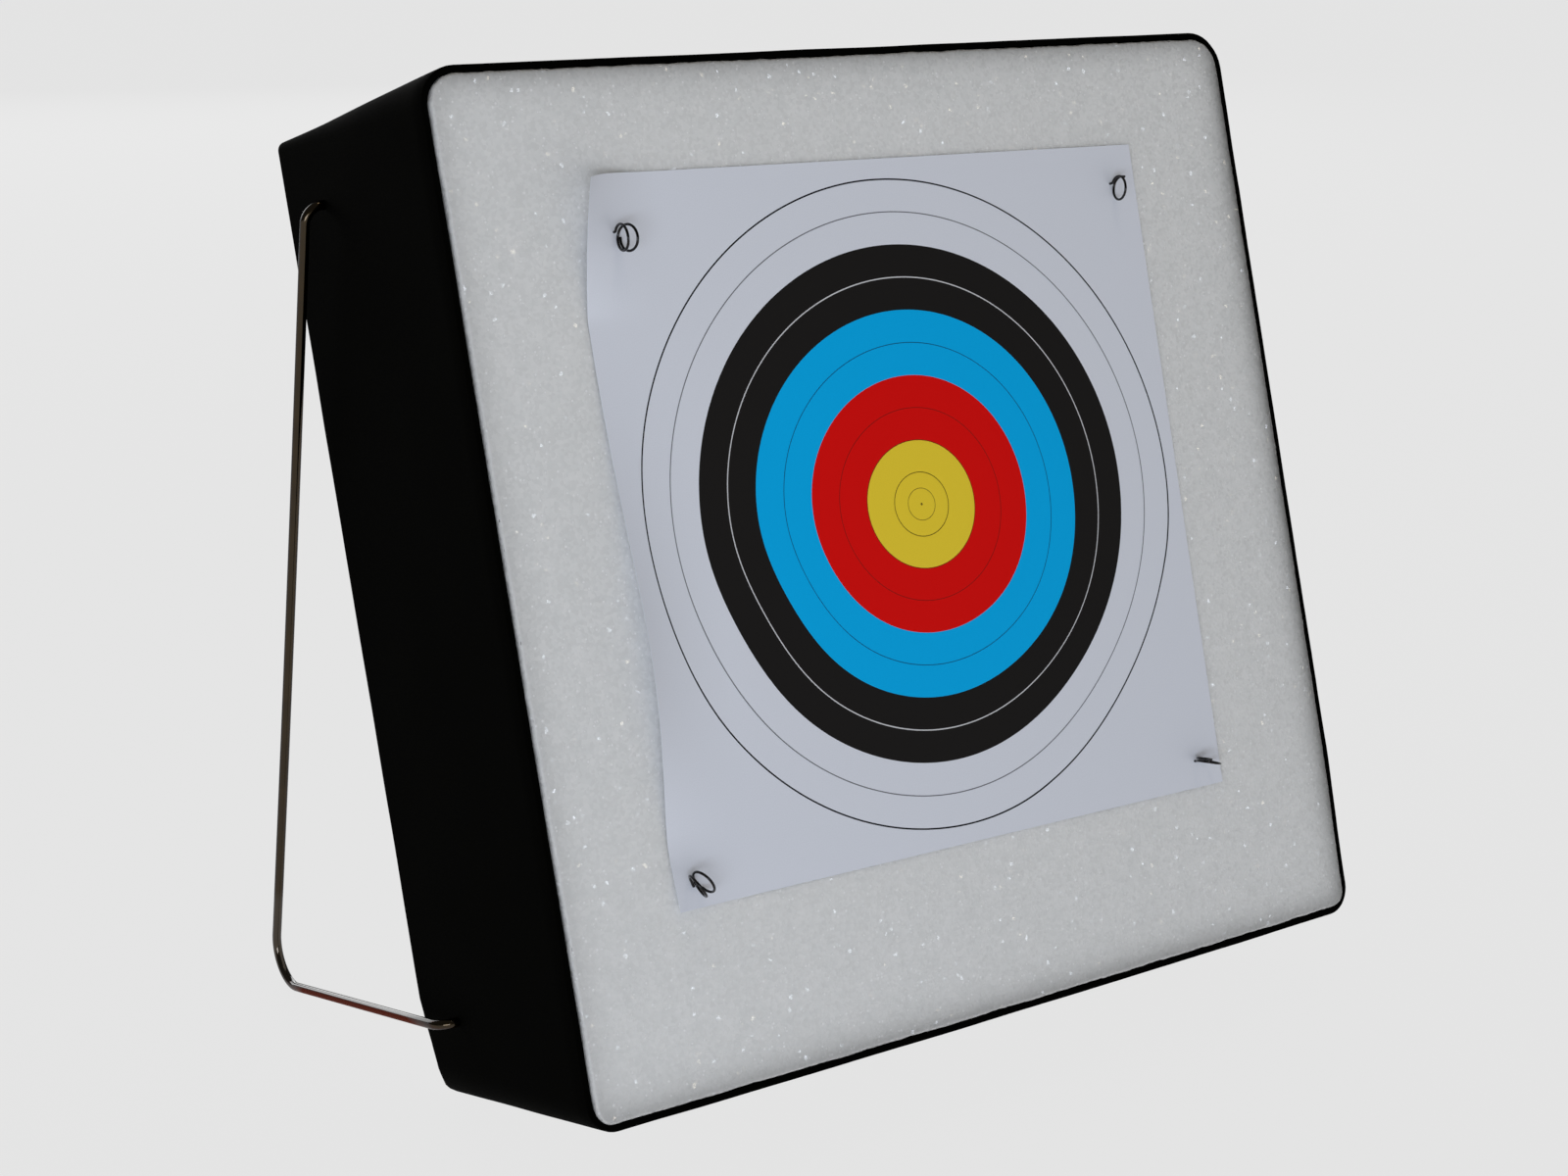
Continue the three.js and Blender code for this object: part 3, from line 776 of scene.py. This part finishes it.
# The ink lies unevenly on the fibres. Real fibres are finer: these spots of about 0.7 mm are
# drawn coarser, so that they show.
fibres = add_node(
    tree, "ShaderNodeTexNoise", {"Vector": spot, "Scale": 1 / (0.7 * MM), "Detail": 2.0}
)
uneven = add_node(tree, "ShaderNodeMapRange", {0: fibres.outputs["Fac"], 3: 0.93, 4: 1.05})
colour = add_node(
    tree, "ShaderNodeVectorMath", {0: colour, 3: uneven.outputs[0]}, operation="SCALE"
).outputs[0]
relief = add_node(
    tree,
    "ShaderNodeBump",
    {"Height": fibres.outputs["Fac"], "Strength": 0.08, "Distance": 0.1 * MM},
)
finish_material(
    tree,
    Base_Color=colour,
    Roughness=0.7,
    Normal=relief.outputs[0],
    Specular_IOR_Level=0.1,
)
paper = add_piece(
    "target_face_sheet", points, faces, face, print_ink, "face", "printed_paper", "target_face"
)
places = paper.data.attributes.new("flat_place", "FLOAT_VECTOR", "POINT")
places.data.foreach_set("vector", [value for point in flat for value in point])


# Pins
# Four pins of plated steel wire, 1.3 mm thick. The head of each is wound into a ring of one
# to two turns, and some have been pulled open. The wire is dark, with bright glints.
WIRE_RADIUS = 0.8  # drawn thicker than the real wire, so that it shows as dark
WIRE_BEND = 1.5  # where the shank goes over into the ring
RING_RADIUS = 7.5  # to the middle of the wire
RING_START = -55  # degrees from the top of the ring, where the wire comes in
RING_STEPS = 48  # in one turn
RING_PITCH = 1.9  # sideways, in one turn
RING_STAND_OFF = 0.5  # from the paper
PIN_REACH = 70  # behind the paper
PIN_TAPER = 6
WIRE_SIDES = 14
WIRE_BEND_STEPS = 6
# The middle of each ring from the paper's middle, in shares of half its width and height,
# its turns of wire, and in degrees its turn about the shank, the lean of its first turn
# and its splay.
PINS = {
    "pin_top_left": (-0.883, 0.817, 1.9, 5, -11, 18),
    "pin_top_right": (0.904, 0.861, 1.2, 8, -8, 4),
    "pin_bottom_left": (-0.94, -0.93, 1.9, 158, -12, 20),
    "pin_bottom_right": (0.92, -0.918, 1.3, 288, -7, 0),
}

wire, tree = start_material("plated_spring_wire")
place = add_node(tree, "ShaderNodeTexCoord").outputs["Object"]
# Tarnish in spots of about 2.5 mm, greyer and duller than the rest.
tarnish = add_node(
    tree, "ShaderNodeTexNoise", {"Vector": place, "Scale": 1 / (2.5 * MM), "Detail": 4.0}
)
grey = add_node(
    tree,
    "ShaderNodeMix",
    {0: tarnish.outputs["Fac"], 6: linear("#080707"), 7: linear("#1e1b1c")},
    data_type="RGBA",
)
polish = add_node(tree, "ShaderNodeMapRange", {0: tarnish.outputs["Fac"], 3: 0.15, 4: 0.35})
finish_material(
    tree,
    Base_Color=grey.outputs[2],
    Metallic=1.0,
    Roughness=polish.outputs[0],
    Coat_Weight=0.5,
    Coat_Roughness=0.05,
)

for name, (across, up, turns, turn, tilt, splay) in PINS.items():
    middle = Vector((across * PAPER_WIDTH / 2, 0, up * PAPER_HEIGHT / 2))
    holder = Matrix.Translation(middle) @ Matrix.Rotation(math.radians(turn), 4, "Y")
    steps = round(turns * RING_STEPS)
    ring, stands = [], []
    for i in range(steps + 1):
        wound = turns * i / steps
        angle = math.radians(RING_START) + 2 * math.pi * wound
        lean = math.radians(tilt + splay * wound)
        out = RING_RADIUS * (1 + math.sin(angle))
        x = RING_PITCH * (wound - turns / 2) + out * math.sin(lean)
        ring.append(Vector((x, -out * math.cos(lean), RING_RADIUS * math.cos(angle))))
    # The last bit of the wire is straight.
    ring.append(ring[-1] + (ring[-1] - ring[-2]).normalized() * 2 * WIRE_RADIUS)
    # The pin is pushed in until its ring is just off the paper, which curls.
    for point in ring:
        on_paper = holder @ point
        stands.append(on_paper.y + paper_curl(on_paper.x, on_paper.z)[0])
    rise = max(stands) + PAPER_GAP + PAPER_THICKNESS + RING_STAND_OFF + WIRE_RADIUS
    ring = [point - Vector((0, rise, 0)) for point in ring]
    line = [Vector((ring[0].x, y, ring[0].z)) for y in (PIN_REACH, PIN_REACH - PIN_TAPER)]
    line += bend(line[1], ring[0], ring[2], WIRE_BEND, WIRE_BEND_STEPS) + ring[2:]
    radii = [WIRE_RADIUS * TIP_SHARE] + [WIRE_RADIUS] * (len(line) - 1)
    shape = tube([holder @ point for point in line], radii, WIRE_SIDES)
    add_piece(f"{name}_wire", *shape, face, wire, name, "pin_steel", name)
